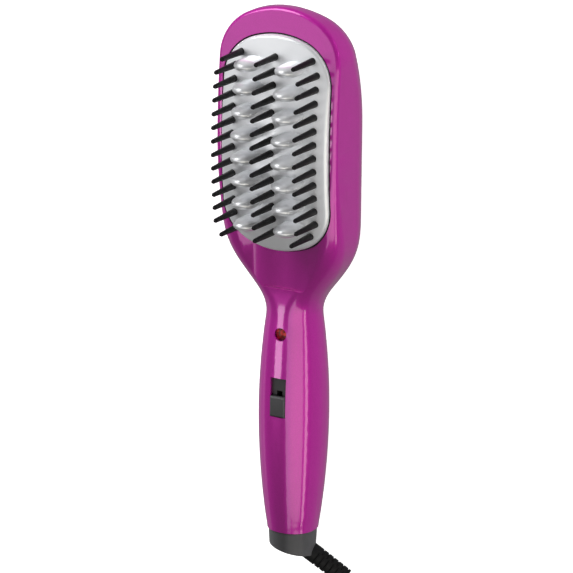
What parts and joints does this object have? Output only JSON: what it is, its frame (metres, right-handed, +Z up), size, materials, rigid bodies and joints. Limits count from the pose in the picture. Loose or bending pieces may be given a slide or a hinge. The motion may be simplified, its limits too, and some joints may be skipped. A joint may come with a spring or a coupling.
{
  "type": "hair straightening brush",
  "caption": "Corded hair straightening brush: oval head with a heated domed plate and bristles, waisted handle with slide switch and pilot lamp, swivelling cord exit, coiled lead and plug.",
  "frame": {"origin": "on the surface that the brush lies on, under the middle of the bristle field", "axes": "+Y along the handle's axis towards the head's tip, +Z up, the way the bristles point, +X to the right when the bristles face the viewer and the tip is up"},
  "size_m": [0.1017, 0.4374, 0.0638],
  "materials": {
    "pearl_shell": "glossy pearl magenta with a fine metallic sparkle",
    "bare_plate": "satin silver coating",
    "black_plastic": "satin black",
    "dark_plastic": "plain dark grey",
    "black_rubber": "soft matt black",
    "red_lens": "clear red, faceted",
    "lamp_glass": "clear",
    "bare_steel": "bare",
    "heater_metal": "bare",
    "board_laminate": "green laminate",
    "blade_brass": "plain"
  },
  "bodies": {
    "brush": {"front_housing": "pearl_shell", "rear_housing": "pearl_shell", "heating_plate": "bare_plate", "bristles": "black_plastic", "switch_tray": "black_plastic", "plug_body": "black_plastic", "plate_carrier": "dark_plastic", "switch_body": "dark_plastic", "cord_clamp": "dark_plastic", "swivel_bush": "dark_plastic", "plate_seal": "black_rubber", "cord_coil": "black_rubber", "cord_lead": "black_rubber", "cord_tail": "black_rubber", "coil_tie": "black_rubber", "heater_wires": "black_rubber", "mains_wires": "black_rubber", "lamp_lens": "red_lens", "pilot_lamp": "lamp_glass", "bristle_strips": "bare_steel", "heater_clamp": "bare_steel", "heat_shield": "bare_steel", "housing_screws": "bare_steel", "carrier_screws": "bare_steel", "clamp_screws": "bare_steel", "heater_bars": "heater_metal", "thermostat": "heater_metal", "thermal_fuse": "heater_metal", "circuit_board": "board_laminate", "plug_blades": "blade_brass"},
    "switch": {"switch_knob": "black_plastic", "switch_slider": "dark_plastic"},
    "cord_swivel": {"swivel_cap": "black_plastic", "swivel_ring": "bare_steel", "strain_relief": "black_rubber"}
  },
  "joints": [
    {"name": "switch_slide", "type": "slide", "parent": "brush", "child": "switch", "axis": [0, 1, 0], "range_m": [0, 0.0094]},
    {"name": "cord_turn", "type": "hinge", "parent": "brush", "child": "cord_swivel", "pos_m": [0, -0.2123, 0.0175], "axis": [0, 1, 0], "range_deg": [-90, 5], "deforming": ["cord_lead"]}
  ]
}
